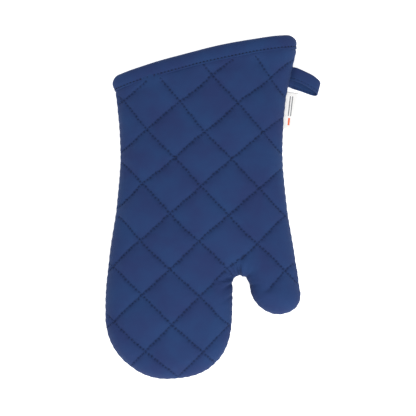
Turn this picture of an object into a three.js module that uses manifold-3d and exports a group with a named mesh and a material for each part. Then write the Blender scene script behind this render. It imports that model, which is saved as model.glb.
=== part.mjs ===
// A quilted cotton oven mitt, lying on its back with the cuff away from the viewer and the thumb to the right.
//
// Both faces are quilted sandwiches: outer cloth, wadding and lining, held together by a diamond lattice of
// stitching. The two faces are sewn to each other round the outline, and a folded strip of cloth binds the open
// cuff. A tape loop and a folded label are caught in the seam on the thumb side. The padded walls fold towards
// the upper face along two lines that meet at the thumb crotch, so every layer is divided there into palm, thumb
// and finger sections.
//
// Units are millimetres and +Z is up. The pattern is drawn in its own frame, with +X to the thumb side, +Y to
// the cuff and its origin at the centre of the rounded finger end. The finished group has its origin under the
// middle of its box.

import * as THREE from "three";
import Module from "manifold-3d";
import { mergeVertices } from "three/addons/utils/BufferGeometryUtils.js";

const wasm = await Module();
wasm.setup();
const { Manifold } = wasm;

// ---------------------------------------------------------------- driving dimensions

const fingerHalfWidth = 61; // half the width of the finger pocket
const fingerEndFullness = 0.64; // 0.55 makes the thumb side of the finger end a quarter circle, 1 a corner
const crotchHeight = 38.6; // top of the crotch, above the centre of the finger end
const crotchRadius = 6.8;
const crotchShoulder = 2; // the finger pocket's inner side runs straight to this far below the crotch's centre
const thumbWidth = 47; // across the thumb pocket near its end
const thumbOffset = 4.5; // from the crotch to the thumb pocket's inner side
const thumbEndHeight = 1; // lowest point of the thumb, above the centre of the finger end
const thumbSplay = 8; // how far the thumb leans away from the fingers, in degrees
const thumbCheek = 4; // the round end starts this far above its centre inside, and this far below it outside
const thumbTipLift = 1; // the thumb's end rises this much towards its outer side
const wristHeight = 152; // narrowest part of the mitt
const wristWidth = 156;
const wristShift = 31.5; // the wrist's middle, towards the thumb side of the finger pocket's middle
const wristRise = 10; // the wrist is this much higher on the thumb side
const cuffWidth = 177;
const cuffHeight = 247.2; // middle of the straight line between the cuff's ends
const cuffShift = 33.3;
const cuffSlope = 13.3; // the cuff edge rises towards the thumb side, in degrees
const cuffBow = 6.2; // the cuff edge bulges outwards by this much in the middle
const cuffStraightInner = 12; // the thumb side runs square to the cuff for this far below it
const cuffStraightOuter = 6; // and so does the little-finger side

// How far each curve of the outline keeps to its end's direction: the length of its Bezier handle.
const handle = {
  crotchInner: 6,
  crotchLeft: 3.5,
  crotchRight: 6,
  thumbRoot: 12,
  thumbInner: 15,
  thumbTipInner: 11,
  thumbTipOuter: 14,
  thumbOuter: 14,
  thumbSide: 56,
  wristBelow: 50,
  wristAboveInner: 60,
  cuffInner: 8,
  cuffOuter: 34,
  wristAboveOuter: 40,
  fingerSide: 58,
};
const circleHandle = 0.5523; // of the radius: this makes a Bezier curve a quarter circle

const upperHeight = 22; // seam line to the top of the upper face
const lowerHeight = 17; // underside to the seam line
const edgeRounding = 15; // how far in from the outline the padded edge curves

const clearance = 0.3; // between neighbouring layers
const clothThickness = 1.2; // outer cloth, with the quilting stitches sunk in it
const waddingThickness = 4.5;
const nippedWadding = 1.5; // the wadding's thickness where the binding squeezes it
const waddingStep = 2; // length over which the wadding steps down to its nipped part
const liningThickness = 0.8;
const bindingThickness = 1.2;
const bindingWidth = 13;
const bindingStitchInset = 1.6; // stitch line to the binding's lower edge

const quiltColumn = 55.5; // width of a diamond
const quiltRow = 52.8; // height of a diamond
const quiltOrigin = [29, 18.6]; // a crossing of two stitch lines
const quiltSkew = -0.029; // the rows' fall towards the thumb side
const quiltBow = 4.8e-4; // the columns' sideways bow, per millimetre
const quiltBowCentre = 62;
const quiltReach = [-2, 5]; // diamonds from the origin to past the finger end and past the far edges
const threadWidth = 0.8;
const threadThickness = 0.4;
const seamThreadThickness = 0.5;

const foldGap = 0.5; // between sections at a fold line
const fingerFoldDrop = 4.6; // the finger fold runs this far below the top of the crotch
const thumbFoldDrop = 2; // the thumb fold starts this far below the top of the crotch
const thumbFoldRise = 113; // the thumb fold meets the side seam this far above the crotch
const thumbFoldOverrun = 2; // and this far past the wrist

const tapeWidth = 12.7;
const tapeThickness = 1.6;
const loopReach = 30.5; // how far the hanging loop stands out from the seam
const loopEye = 9; // clear height inside the loop
const loopSag = 6.5; // how far the loop's end hangs below the seam line
const loopSlump = 4; // how far the loop's end slumps along the seam, away from the cuff
const loopDroop = 1.55; // 1 makes it sag and slump in a straight line, more makes it curve down at its end
const loopFromCuff = 33; // cuff edge to the middle of the loop's upper leg
const loopLegOffset = 7; // the lower leg is sewn in this much further from the cuff
const loopRootGap = 1.8; // clear of the seam line, so that the loop can swing

const labelLength = 36;
const labelReach = 9.6;
const labelPly = 0.4;
const labelFromCuff = 66; // cuff edge to the middle of the label
const labelTilt = -1; // the label leans away from the seam line at its cuff end, in degrees
const labelRootGap = 1.9; // clear of the seam line, which bows towards the label's ends

const ringSteps = 3; // facets from the seam line to the flat of each face
const cuffSteps = 8; // facets of the bowed cuff edge
const loopSteps = 30;
const cuffSpare = 60; // the drawn outline runs this far past the cuff, where it is cut off
const far = 400; // larger than the mitt

// ---------------------------------------------------------------- small helpers

const radians = THREE.MathUtils.degToRad;
const vec = (x, y) => new THREE.Vector2(x, y);

/** A closed three.js geometry as a manifold solid. */
function solidOf(geometry) {
  const bare = new THREE.BufferGeometry().setAttribute("position", geometry.getAttribute("position"));
  bare.setIndex(geometry.index);
  const merged = mergeVertices(bare, 1e-4);
  const mesh = new wasm.Mesh({
    numProp: 3,
    vertProperties: new Float32Array(merged.attributes.position.array),
    triVerts: new Uint32Array(merged.index.array),
  });
  return new Manifold(mesh);
}

/** A vertical prism over a plan outline, from z = low to z = high. */
function prism(points, low = -far, high = far) {
  const settings = { depth: high - low, bevelEnabled: false };
  const geometry = new THREE.ExtrudeGeometry(new THREE.Shape(points), settings);
  geometry.translate(0, 0, low);
  return solidOf(geometry);
}

/** A solid swept through rectangles, each given by its four corners in order round the section. */
function sweptSolid(sections) {
  const positions = sections.flat().flatMap((corner) => corner.toArray());
  const faces = [];
  for (let i = 0; i + 1 < sections.length; i++) {
    for (let k = 0; k < 4; k++) {
      const [a, b] = [4 * i + k, 4 * i + ((k + 1) % 4)];
      faces.push(a, b, b + 4, a, b + 4, a + 4);
    }
  }
  const last = 4 * (sections.length - 1);
  faces.push(0, 2, 1, 0, 3, 2, last, last + 1, last + 2, last, last + 2, last + 3);
  const geometry = new THREE.BufferGeometry();
  geometry.setAttribute("position", new THREE.Float32BufferAttribute(positions, 3));
  geometry.setIndex(faces);
  const solid = solidOf(geometry);
  return solid.volume() > 0 ? solid : solidOf(geometry.setIndex(faces.reverse()));
}

/** The largest of a solid's separate bodies. */
function largestBody(solid) {
  return solid.decompose().reduce((best, body) => (body.volume() > best.volume() ? body : best));
}

// ---------------------------------------------------------------- the pattern

const cuffAlong = vec(Math.cos(radians(cuffSlope)), Math.sin(radians(cuffSlope)));
const cuffOut = vec(-cuffAlong.y, cuffAlong.x);
const cuffMiddle = vec(cuffShift, cuffHeight);

/** A point given by its distance along the cuff from the middle and its distance out past the cuff edge. */
function cuffPoint(along, out) {
  return cuffMiddle.clone().addScaledVector(cuffAlong, along).addScaledVector(cuffOut, out);
}

const crotchTop = vec(fingerHalfWidth + crotchRadius, crotchHeight);
const [up, right] = [vec(0, 1), vec(1, 0)];

/** A point moved in a direction by a length. */
function moved(from, direction, length) {
  return from.clone().addScaledVector(direction, length);
}

/** A Bezier curve as points, without its last one. */
function curve(steps, ...points) {
  return new THREE.CubicBezierCurve(...points).getPoints(steps).slice(0, -1);
}

/** The finger end and its inner side, up to the top of the crotch. */
function fingerOutline() {
  const r = fingerHalfWidth;
  const quarter = circleHandle * r;
  const full = fingerEndFullness * r;
  const shoulder = vec(r, crotchHeight - crotchRadius - crotchShoulder);
  return [
    ...curve(6, vec(-r, 0), vec(-r, -quarter), vec(-quarter, -r), vec(0, -r)),
    ...curve(6, vec(0, -r), vec(full, -r), vec(r, -full), vec(r, 0)),
    vec(r, 0),
    ...curve(
      3,
      shoulder,
      moved(shoulder, up, handle.crotchInner),
      moved(crotchTop, right, -handle.crotchLeft),
      crotchTop,
    ),
  ];
}

/** The thumb, from the top of the crotch to the wrist. */
function thumbOutline(wrist) {
  const splay = radians(thumbSplay);
  const lean = vec(Math.sin(splay), -Math.cos(splay)); // towards the thumb's end
  const across = vec(Math.cos(splay), Math.sin(splay));
  const half = thumbWidth / 2;
  const end = vec(crotchTop.x + crotchRadius + thumbOffset + half, thumbEndHeight + half);
  const inner = moved(moved(end, across, -half), lean, -thumbCheek);
  const outer = moved(moved(end, across, half), lean, thumbCheek);
  const tip = moved(end, lean, half);
  const pastCrotch = moved(crotchTop, right, handle.crotchRight);
  const pastTip = moved(tip, right, handle.thumbTipOuter).add(vec(0, thumbTipLift));
  return [
    ...curve(4, crotchTop, pastCrotch, moved(inner, lean, -handle.thumbRoot), inner),
    ...curve(5, inner, moved(inner, lean, handle.thumbInner), moved(tip, right, -handle.thumbTipInner), tip),
    ...curve(5, tip, pastTip, moved(outer, lean, handle.thumbOuter), outer),
    ...curve(4, outer, moved(outer, lean, -handle.thumbSide), moved(wrist, up, -handle.wristBelow), wrist),
  ];
}

/** The mitt's outline, counter-clockwise, with straight spare cloth past the cuff. */
function outlinePoints() {
  const wristOuter = vec(wristShift - wristWidth / 2, wristHeight);
  const wristInner = vec(wristShift + wristWidth / 2, wristHeight + wristRise);
  const cuffInner = cuffPoint(cuffWidth / 2, -cuffStraightInner);
  const cuffOuter = cuffPoint(-cuffWidth / 2, -cuffStraightOuter);
  const fingerSide = vec(-fingerHalfWidth, 0);
  const down = vec(0.1, -1); // the cuff's outer corner leans in a little
  return [
    ...fingerOutline(),
    ...thumbOutline(wristInner),
    ...curve(
      5,
      wristInner,
      moved(wristInner, up, handle.wristAboveInner),
      moved(cuffInner, cuffOut, -handle.cuffInner),
      cuffInner,
    ),
    cuffInner,
    cuffPoint(cuffWidth / 2, cuffSpare),
    cuffPoint(-cuffWidth / 2, cuffSpare),
    ...curve(
      3,
      cuffOuter,
      moved(moved(cuffOuter, cuffOut, cuffStraightOuter), down, handle.cuffOuter),
      moved(wristOuter, up, handle.wristAboveOuter),
      wristOuter,
    ),
    ...curve(
      4,
      wristOuter,
      moved(wristOuter, up, -handle.wristBelow),
      moved(fingerSide, up, handle.fingerSide),
      fingerSide,
    ),
  ];
}

const outline = outlinePoints();

const sharpestMitre = 0.6; // keeps a moved corner from running far out

/** The outline moved inwards by a distance, or outwards if it is negative. */
function inset(distance) {
  const count = outline.length;
  return outline.map((point, i) => {
    const before = point.clone().sub(outline[(i + count - 1) % count]).normalize();
    const after = outline[(i + 1) % count].clone().sub(point).normalize();
    const normal = vec(-before.y - after.y, before.x + after.x).normalize();
    const mitre = Math.max(sharpestMitre, normal.dot(vec(-after.y, after.x)));
    return point.clone().addScaledVector(normal, distance / mitre);
  });
}

// ---------------------------------------------------------------- padded bodies

/** The whole mitt as one padded cushion, with its surface moved inwards by a distance. */
function cushion(depth) {
  const rings = [];
  for (let k = -ringSteps; k <= ringSteps; k++) {
    const angle = (k / ringSteps) * (Math.PI / 2);
    const height = (k < 0 ? lowerHeight : upperHeight) - depth;
    const points = inset(depth + (edgeRounding - depth) * (1 - Math.cos(angle)));
    rings.push({ points, z: lowerHeight + height * Math.sin(angle) });
  }
  const count = outline.length;
  const positions = rings.flatMap(({ points, z }) => points.flatMap((p) => [p.x, p.y, z]));
  const faces = [];
  for (let k = 0; k + 1 < rings.length; k++) {
    for (let i = 0; i < count; i++) {
      const [a, b] = [k * count + i, k * count + ((i + 1) % count)];
      faces.push(a, b, b + count, a, b + count, a + count);
    }
  }
  const top = (rings.length - 1) * count;
  for (const [a, b, c] of THREE.ShapeUtils.triangulateShape(rings[0].points, [])) {
    faces.push(a, c, b, top + a, top + b, top + c);
  }
  const geometry = new THREE.BufferGeometry();
  geometry.setAttribute("position", new THREE.Float32BufferAttribute(positions, 3));
  geometry.setIndex(faces);
  return solidOf(geometry);
}

/** Everything on the mitt's side of the cuff edge, moved out by a distance. */
function belowCuff(out) {
  const end = cuffWidth;
  const bowEnd = cuffWidth / 2 + bindingWidth;
  const edge = new THREE.QuadraticBezierCurve(
    cuffPoint(bowEnd, out),
    cuffPoint(0, out + 2 * cuffBow),
    cuffPoint(-bowEnd, out),
  );
  const sides = [cuffPoint(-end, out - far), cuffPoint(end, out - far)];
  return prism([...sides, cuffPoint(end, out), ...edge.getPoints(cuffSteps), cuffPoint(-end, out)]);
}

/** A layer of the wall between two depths, from one distance past the cuff edge to another. */
function layer(outer, inner, from, to) {
  let solid = cushion(outer).subtract(cushion(inner)).intersect(belowCuff(to));
  if (from > -far) solid = solid.subtract(belowCuff(from));
  return solid;
}

const halfSlit = seamThreadThickness / 2 + clearance;
const box = [vec(-far, -far), vec(far, -far), vec(far, far), vec(-far, far)];
const faces = {
  upper: prism(box, lowerHeight + halfSlit, far),
  lower: prism(box, -far, lowerHeight - halfSlit),
};

// ---------------------------------------------------------------- fold lines and sections

const fingerFoldY = crotchHeight - fingerFoldDrop;
const thumbFoldStart = vec(crotchTop.x, crotchTop.y - thumbFoldDrop);
const thumbFoldEnd = vec(wristShift + wristWidth / 2 + thumbFoldOverrun, crotchTop.y + thumbFoldRise);
const thumbFoldAlong = thumbFoldEnd.clone().sub(thumbFoldStart).normalize();
const thumbFoldAcross = vec(thumbFoldAlong.y, -thumbFoldAlong.x);

/** The part of the plan beyond the finger fold, moved towards the finger end by a distance. */
function fingerRegion(shift) {
  const y = fingerFoldY - shift;
  return prism([vec(-far, -far), vec(crotchTop.x, -far), vec(crotchTop.x, y), vec(-far, y)]);
}

/** The part of the plan beyond the thumb fold, moved away from the palm by a distance. */
function thumbRegion(shift) {
  const start = thumbFoldStart.clone().addScaledVector(thumbFoldAcross, shift);
  const end = start.clone().addScaledVector(thumbFoldAlong, far);
  const corner = thumbFoldStart.clone().addScaledVector(thumbFoldAlong, -shift);
  return prism([vec(crotchTop.x, -far), vec(far, -far), end, start, vec(crotchTop.x, corner.y)]);
}

const sections = {
  palm: (solid) => solid.subtract(fingerRegion(0)).subtract(thumbRegion(0)),
  thumb: (solid) => solid.intersect(thumbRegion(foldGap)),
  fingers: (solid) => solid.intersect(fingerRegion(foldGap)),
};

// ---------------------------------------------------------------- quilting lattice

/** A point of the quilting lattice: whole or half numbers of diamonds across and up. */
function latticePoint(column, row) {
  const y = quiltOrigin[1] + row * quiltRow + column * quiltSkew * quiltColumn;
  const x = quiltOrigin[0] + column * quiltColumn + quiltBow * (y - quiltBowCentre) ** 2;
  return vec(x, y);
}

/** The lattice of stitch lines as upright walls of a width. */
function latticeWalls(width) {
  const [first, last] = quiltReach;
  const walls = [];
  for (const lean of [1, -1]) {
    for (let line = -last; line <= last; line++) {
      const points = [];
      for (let row = first; row <= last; row++) points.push(latticePoint(line + lean * row, row));
      const left = points.map((p, i) => offsetFrom(points, i, width / 2));
      const right = points.map((p, i) => offsetFrom(points, i, -width / 2));
      walls.push(prism([...left, ...right.reverse()]));
    }
  }
  return Manifold.union(walls);
}

/** A point of an open line, moved sideways by a distance. */
function offsetFrom(points, i, distance) {
  const before = points[Math.max(i - 1, 0)];
  const after = points[Math.min(i + 1, points.length - 1)];
  const along = after.clone().sub(before).normalize();
  return points[i].clone().add(vec(-along.y, along.x).multiplyScalar(distance));
}

// ---------------------------------------------------------------- layers of the wall

const waddingDepth = clothThickness + clearance;
const liningDepth = waddingDepth + waddingThickness + clearance;
const wallThickness = liningDepth + liningThickness;
const underBinding = {
  cloth: bindingThickness + clearance,
  wadding: bindingThickness + clothThickness + 2 * clearance,
  lining: bindingThickness + clothThickness + nippedWadding + 3 * clearance,
};
const bindingInner = underBinding.lining + liningThickness + clearance;
const bindingEdge = -bindingWidth + bindingThickness + clearance; // its lower edge, past the wall's end
const stepEnd = bindingEdge - clearance;
const stepStart = stepEnd - clothThickness;
const threadSink = threadThickness + clearance;

/** The outer cloth: the full face, and the nipped edge that the binding covers. */
function clothLayer() {
  const inner = underBinding.cloth + clothThickness;
  return layer(0, clothThickness, -far, stepEnd)
    .add(layer(0, inner, stepStart, stepEnd))
    .add(layer(underBinding.cloth, inner, stepStart, 0));
}

function waddingLayer() {
  const end = stepStart - clearance;
  const nipped = layer(underBinding.wadding, underBinding.wadding + nippedWadding, end - waddingStep, 0);
  return layer(waddingDepth, waddingDepth + waddingThickness, -far, end).add(nipped);
}

function liningLayer() {
  const inner = underBinding.lining + liningThickness;
  return layer(liningDepth, wallThickness, -far, stepEnd)
    .add(layer(underBinding.lining, wallThickness, stepStart, stepEnd))
    .add(layer(underBinding.lining, inner, stepStart, 0));
}

/** The folded strip that wraps the wall's end, and the ring of stitching sunk in it. */
function cuffBinding() {
  const end = clearance + bindingThickness;
  const strip = layer(0, bindingInner + bindingThickness, bindingEdge, end);
  const wall = layer(bindingThickness, bindingInner, bindingEdge - 1, clearance);
  const line = bindingEdge + bindingStitchInset;
  const groove = layer(-1, threadSink, line - clearance, line + threadWidth + clearance);
  return {
    strip: strip.subtract(wall).subtract(groove),
    stitching: layer(0, threadThickness, line, line + threadWidth),
  };
}

// ---------------------------------------------------------------- loop and label

/** The side seam's point and directions at a distance down from the cuff edge, on the thumb side. */
function seamFrame(fromCuff) {
  const wanted = -fromCuff;
  const heightOf = (p) => p.clone().sub(cuffMiddle).dot(cuffOut);
  for (let i = 0; i + 1 < outline.length; i++) {
    const [low, high] = [outline[i], outline[i + 1]];
    if (low.x > cuffMiddle.x && heightOf(low) <= wanted && heightOf(high) > wanted) {
      const share = (wanted - heightOf(low)) / (heightOf(high) - heightOf(low));
      const along = high.clone().sub(low).normalize();
      return { point: low.clone().lerp(high, share), along, out: vec(along.y, -along.x) };
    }
  }
  throw new Error("the side seam is too short for the loop or the label");
}

/** Places (out from the seam, along it, up) in a seam frame. */
function atSeam(frame, out, along, up) {
  const plan = frame.point.clone().addScaledVector(frame.out, out).addScaledVector(frame.along, along);
  return new THREE.Vector3(plan.x, plan.y, lowerHeight + up);
}

/** The tape loop: out along its upper leg, round its end, and back along its lower leg. */
function hangingLoop() {
  const frame = seamFrame(loopFromCuff);
  const full = (loopEye + tapeThickness) / 2;
  const root = tapeThickness / 2 + clearance;
  const end = loopReach - tapeThickness / 2;
  const tilt = (out) => -loopSag * (out / loopReach) ** loopDroop;
  const slump = (out) => -loopSlump * (out / loopReach) ** loopDroop;
  // A leg's point: out from the seam, raised from the middle, and how much it has moved to the lower leg's place.
  const leg = (out, rise, back) => atSeam(frame, out, slump(out) - back * loopLegOffset, rise + tilt(out));
  const line = new THREE.CatmullRomCurve3([
    leg(loopRootGap, root, 0),
    leg(0.2 * end, 0.7 * full, 0),
    leg(0.45 * end, full, 0.05),
    leg(0.72 * end, full, 0.15),
    leg(0.93 * end, 0.7 * full, 0.3),
    leg(end, 0, 0.5),
    leg(0.93 * end, -0.7 * full, 0.7),
    leg(0.72 * end, -full, 0.85),
    leg(0.45 * end, -full, 0.95),
    leg(0.2 * end, -0.7 * full, 1),
    leg(loopRootGap, -root, 1),
  ]);
  const across = new THREE.Vector3(frame.along.x, frame.along.y, 0);
  const stations = [];
  for (let i = 0; i <= loopSteps; i++) {
    const centre = line.getPoint(i / loopSteps);
    const tangent = line.getTangent(i / loopSteps);
    const thick = tangent.cross(across).normalize().multiplyScalar(tapeThickness / 2);
    const wide = across.clone().multiplyScalar(tapeWidth / 2);
    stations.push([
      centre.clone().add(thick).add(wide),
      centre.clone().sub(thick).add(wide),
      centre.clone().sub(thick).sub(wide),
      centre.clone().add(thick).sub(wide),
    ]);
  }
  return sweptSolid(stations);
}

/** The label: one strip folded at its outer edge, with both ends at the seam. */
function foldedLabel() {
  const frame = seamFrame(labelFromCuff);
  const half = labelPly + clearance / 2;
  const profile = new THREE.Shape([
    vec(0, half),
    vec(0, clearance / 2),
    vec(labelReach - labelPly, clearance / 2),
    vec(labelReach - labelPly, -clearance / 2),
    vec(0, -clearance / 2),
    vec(0, -half),
    vec(labelReach - half, -half),
    vec(labelReach, 0),
    vec(labelReach - half, half),
  ]);
  const geometry = new THREE.ExtrudeGeometry(profile, { depth: labelLength, bevelEnabled: false });
  const angle = Math.atan2(frame.out.y, frame.out.x) - radians(labelTilt);
  geometry.translate(0, 0, -labelLength / 2);
  geometry.rotateX(Math.PI / 2);
  geometry.rotateZ(angle);
  const root = labelRootGap + (Math.sin(radians(Math.abs(labelTilt))) * labelLength) / 2;
  const middle = atSeam(frame, root, 0, 0);
  geometry.translate(middle.x, middle.y, middle.z);
  return solidOf(geometry);
}

// ---------------------------------------------------------------- materials

const cloth = (color, roughness) => new THREE.MeshStandardMaterial({ color, roughness, metalness: 0 });
const materials = {
  outer: cloth(0x2d426d, 0.85),
  wadding: cloth(0xe6e2d8, 0.95),
  lining: cloth(0x2b3c63, 0.9),
  thread: cloth(0x1a2645, 0.7),
  binding: cloth(0x2e436f, 0.85),
  tape: cloth(0x2b3f6b, 0.85),
  label: cloth(0xeceae4, 0.6),
};

// ---------------------------------------------------------------- the mitt

const mitt = new THREE.Group();

/** Adds a solid to the mitt as a named mesh. */
function addPiece(name, solid, material) {
  const { numProp, vertProperties, triVerts } = solid.getMesh();
  const count = vertProperties.length / numProp;
  const positions = new Float32Array(3 * count);
  for (let i = 0; i < count; i++) {
    positions.set(vertProperties.subarray(i * numProp, i * numProp + 3), 3 * i);
  }
  const geometry = new THREE.BufferGeometry();
  geometry.setAttribute("position", new THREE.BufferAttribute(positions, 3));
  geometry.setIndex(new THREE.BufferAttribute(triVerts, 1));
  geometry.computeVertexNormals();
  const mesh = new THREE.Mesh(geometry, material);
  mesh.name = name;
  mitt.add(mesh);
}

const quiltedFace = layer(0, threadThickness, -far, bindingEdge - 2 * clearance);
const quilting = quiltedFace.intersect(latticeWalls(threadWidth));
const quiltGroove = layer(-1, threadSink, -far, bindingEdge - clearance);
const outerCloth = clothLayer().subtract(quiltGroove.intersect(latticeWalls(threadWidth + 2 * clearance)));
const wadding = waddingLayer();
const lining = liningLayer();

for (const [face, half] of Object.entries(faces)) {
  for (const [section, cut] of Object.entries(sections)) {
    const own = (solid) => largestBody(cut(solid.intersect(half)));
    addPiece(`${face}_cloth_${section}`, own(outerCloth), materials.outer);
    addPiece(`${face}_wadding_${section}`, own(wadding), materials.wadding);
    addPiece(`${face}_lining_${section}`, own(lining), materials.lining);
    addPiece(`${face}_quilting_${section}`, own(quilting), materials.thread);
  }
}

const slit = prism(box, lowerHeight - seamThreadThickness / 2, lowerHeight + seamThreadThickness / 2);
const seamRing = layer(clearance, clearance + threadWidth, -far, stepStart - clearance).intersect(slit);
const palmSeams = sections.palm(seamRing).decompose();
const seamNames = [
  ["seam_thread_outer_side", (bounds) => bounds.min[0] < 0],
  ["seam_thread_crotch", (bounds) => bounds.min[0] >= 0 && bounds.max[1] < wristHeight],
  ["seam_thread_thumb_side", (bounds) => bounds.min[0] >= 0 && bounds.max[1] >= wristHeight],
];
for (const [name, isIt] of seamNames) {
  addPiece(name, palmSeams.find((body) => isIt(body.boundingBox())), materials.thread);
}
addPiece("seam_thread_thumb", sections.thumb(seamRing), materials.thread);
addPiece("seam_thread_fingers", sections.fingers(seamRing), materials.thread);

const binding = cuffBinding();
addPiece("cuff_binding", binding.strip, materials.binding);
addPiece("cuff_binding_stitching", binding.stitching, materials.thread);
addPiece("hanging_loop", hangingLoop(), materials.tape);
addPiece("side_label", foldedLabel(), materials.label);

// The origin goes under the middle of the finished mitt.
const bounds = new THREE.Box3().setFromObject(mitt);
const middle = bounds.getCenter(new THREE.Vector3());
mitt.position.set(-middle.x, -middle.y, -bounds.min.z);

export default mitt;
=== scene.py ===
"""The looks of a quilted cotton oven mitt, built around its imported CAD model. It runs in Blender 4.5.

Each face of the mitt is a triangulated panel. Its shape is worked out in the mitt's pattern, in
millimetres, as the CAD model's is, and is then placed in the row frame, in metres. A cloth
simulation puffs up the outer cloth between its stitch lines. Stitches, binding, loop and label
follow.
"""

import math

import bpy
import numpy as np
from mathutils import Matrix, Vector, geometry
from mathutils.bvhtree import BVHTree
from mathutils.kdtree import KDTree


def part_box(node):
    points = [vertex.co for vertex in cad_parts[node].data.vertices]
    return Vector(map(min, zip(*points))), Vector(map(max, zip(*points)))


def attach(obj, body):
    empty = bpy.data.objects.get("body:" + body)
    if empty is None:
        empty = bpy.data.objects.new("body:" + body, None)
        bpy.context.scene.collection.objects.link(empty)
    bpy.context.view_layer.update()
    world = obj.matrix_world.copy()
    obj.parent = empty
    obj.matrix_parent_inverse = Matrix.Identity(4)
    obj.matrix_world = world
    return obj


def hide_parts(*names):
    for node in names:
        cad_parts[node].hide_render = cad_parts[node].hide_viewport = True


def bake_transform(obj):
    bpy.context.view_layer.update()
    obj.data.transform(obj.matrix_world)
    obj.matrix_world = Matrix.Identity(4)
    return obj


# ---------------------------------------------------------------- driving dimensions, in millimetres

FINGER_HALF_WIDTH = 61
FINGER_END_FULLNESS = 0.64
CROTCH_HEIGHT = 38.6
CROTCH_RADIUS = 6.8
THUMB_WIDTH = 47
THUMB_OFFSET = 4.5
THUMB_END_HEIGHT = 1
THUMB_SPLAY = 8
WRIST_HEIGHT = 152
WRIST_WIDTH = 156
WRIST_SHIFT = 31.5
CUFF_WIDTH = 177
CUFF_HEIGHT = 247.2
CUFF_SHIFT = 33.3
CUFF_SLOPE = 13.3
CUFF_BOW = 6.2
CUFF_SPARE = 60

SEAM_HEIGHT = 17  # underside to the seam
UPPER_RISE = 15.5  # seam to the upper face near its edge
UPPER_DOME = 6.5  # further rise towards the middle of the palm
DOME_REACH = 38
EDGE_ROUNDING = 20
SEAM_TUCK = 1.6  # the seam is drawn in by this much
SEAM_TUCK_REACH = 1.2
CLOTH_SINK = 0.2  # the simulated cloth goes no further in than this
CLOTH_SWELL = 0.7  # the outer cloth stands this far outside the plain shape

QUILT_COLUMN = 55.5
QUILT_ROW = 52.8
QUILT_ORIGIN = (29, 18.6)
QUILT_SKEW = -0.029
QUILT_BOW = 4.8e-4
QUILT_BOW_CENTRE = 62
QUILT_WOBBLE = 0.5  # the hand-guided stitch lines stray by about this much
QUILT_DEPTH = {"upper": 3.0, "lower": 2.0}  # how far the stitch lines are pulled in
QUILT_SOFTNESS = 5.0  # how quickly the cloth rises beside a line
THUMB_END_PLAIN = (80, 27)  # the thumb's end, past this x and below this y, is not quilted

FINGER_FOLD_DROP = 4.6

BINDING_WIDTH = 13
BINDING_STITCH_INSET = 2.0
BINDING_CORNER = 4  # radius of the strip's rounded ends
PANEL_END = -7  # the panels stop this far from the cuff edge, inside the binding
WADDING_DEPTH = 1.1  # from the outer cloth to the wadding
LINING_DEPTH = 6.8
STITCH_PITCH = 3.5
STITCH_LENGTH = 2.7
STITCH_RADIUS = 0.22
HOLE_DEPTH = 0.6
CLOTH_PRESSURE = 2.5  # of the simulation that puffs up the outer cloth
CLOTH_CAP = 2.0  # the simulation moves no point further than this
CLOTH_FRAMES = 20
TWILL_PITCH = 0.62
TWILL_BUMP = 0.35

LOOP_REACH = 30.5
LOOP_EYE = 9
LOOP_SAG = 6.5
LOOP_SLUMP = 4
LOOP_DROOP = 1.55
LOOP_FROM_CUFF = 33
LOOP_LEG_OFFSET = 7
TAPE_WIDTH = 12.7
TAPE_THICKNESS = 1.6
LABEL_FROM_CUFF = 66
LABEL_LENGTH = 36
LABEL_REACH = 11.5
LABEL_TILT = -1
LABEL_LEAF = 0.3
LABEL_GAP = 0.35  # half the space between the two leaves

POINT_SPACING = 2.3  # of the panels' vertices, before they are subdivided
EDGE_RINGS = 15
EDGE_SPREAD = 3  # the panels' layout reaches this far outside the outline
GRID_GAP = 1.0  # grid points keep this far from lines and rings

MM = 0.001
FACES = ("upper", "lower")

# ---------------------------------------------------------------- the frame

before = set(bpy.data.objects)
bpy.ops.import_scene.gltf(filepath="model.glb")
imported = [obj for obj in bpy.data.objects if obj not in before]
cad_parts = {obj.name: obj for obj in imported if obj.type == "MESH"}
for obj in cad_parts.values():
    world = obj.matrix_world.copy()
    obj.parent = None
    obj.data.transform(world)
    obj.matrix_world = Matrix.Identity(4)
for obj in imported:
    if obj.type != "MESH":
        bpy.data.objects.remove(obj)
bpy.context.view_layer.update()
PATTERN_ORIGIN = (
    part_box("upper_cloth_fingers")[0].x / MM + FINGER_HALF_WIDTH,
    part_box("upper_cloth_fingers")[0].y / MM + FINGER_HALF_WIDTH,
)


def to_frame(points):
    """Pattern points in millimetres as points of the row frame in metres."""
    return (np.asarray(points, float) + (*PATTERN_ORIGIN, 0)) * MM


def from_frame(points):
    """Points of the row frame in metres as pattern points in millimetres."""
    return points / MM - (*PATTERN_ORIGIN, 0)


# ---------------------------------------------------------------- small helpers


def unit(vectors):
    return vectors / np.maximum(np.linalg.norm(vectors, axis=-1, keepdims=True), 1e-12)


def smooth_step(values, low, high):
    share = np.clip((np.asarray(values, float) - low) / (high - low), 0, 1)
    return share * share * (3 - 2 * share)


def bezier(a, b, c, d, steps=24):
    t = np.linspace(0, 1, steps + 1)[:-1, None]
    a, b, c, d = (np.asarray(p, float) for p in (a, b, c, d))
    return (1 - t) ** 3 * a + 3 * (1 - t) ** 2 * t * b + 3 * (1 - t) * t**2 * c + t**3 * d


def straight(a, b, steps=8):
    t = np.linspace(0, 1, steps + 1)[:-1, None]
    return (1 - t) * np.asarray(a, float) + t * np.asarray(b, float)


def lengths_along(points):
    steps = np.linalg.norm(np.diff(points, axis=0), axis=1)
    return np.concatenate([[0], np.cumsum(steps)])


def sampled(points, along, wanted):
    """A line's points at the wanted distances along it."""
    return np.stack([np.interp(wanted, along, axis) for axis in points.T], axis=1)


def resampled(points, spacing):
    """An open line's points at an even spacing, as near as possible to the one asked for."""
    along = lengths_along(points)
    wanted = np.linspace(0, along[-1], max(2, round(along[-1] / spacing) + 1))
    return sampled(points, along, wanted)


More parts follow.
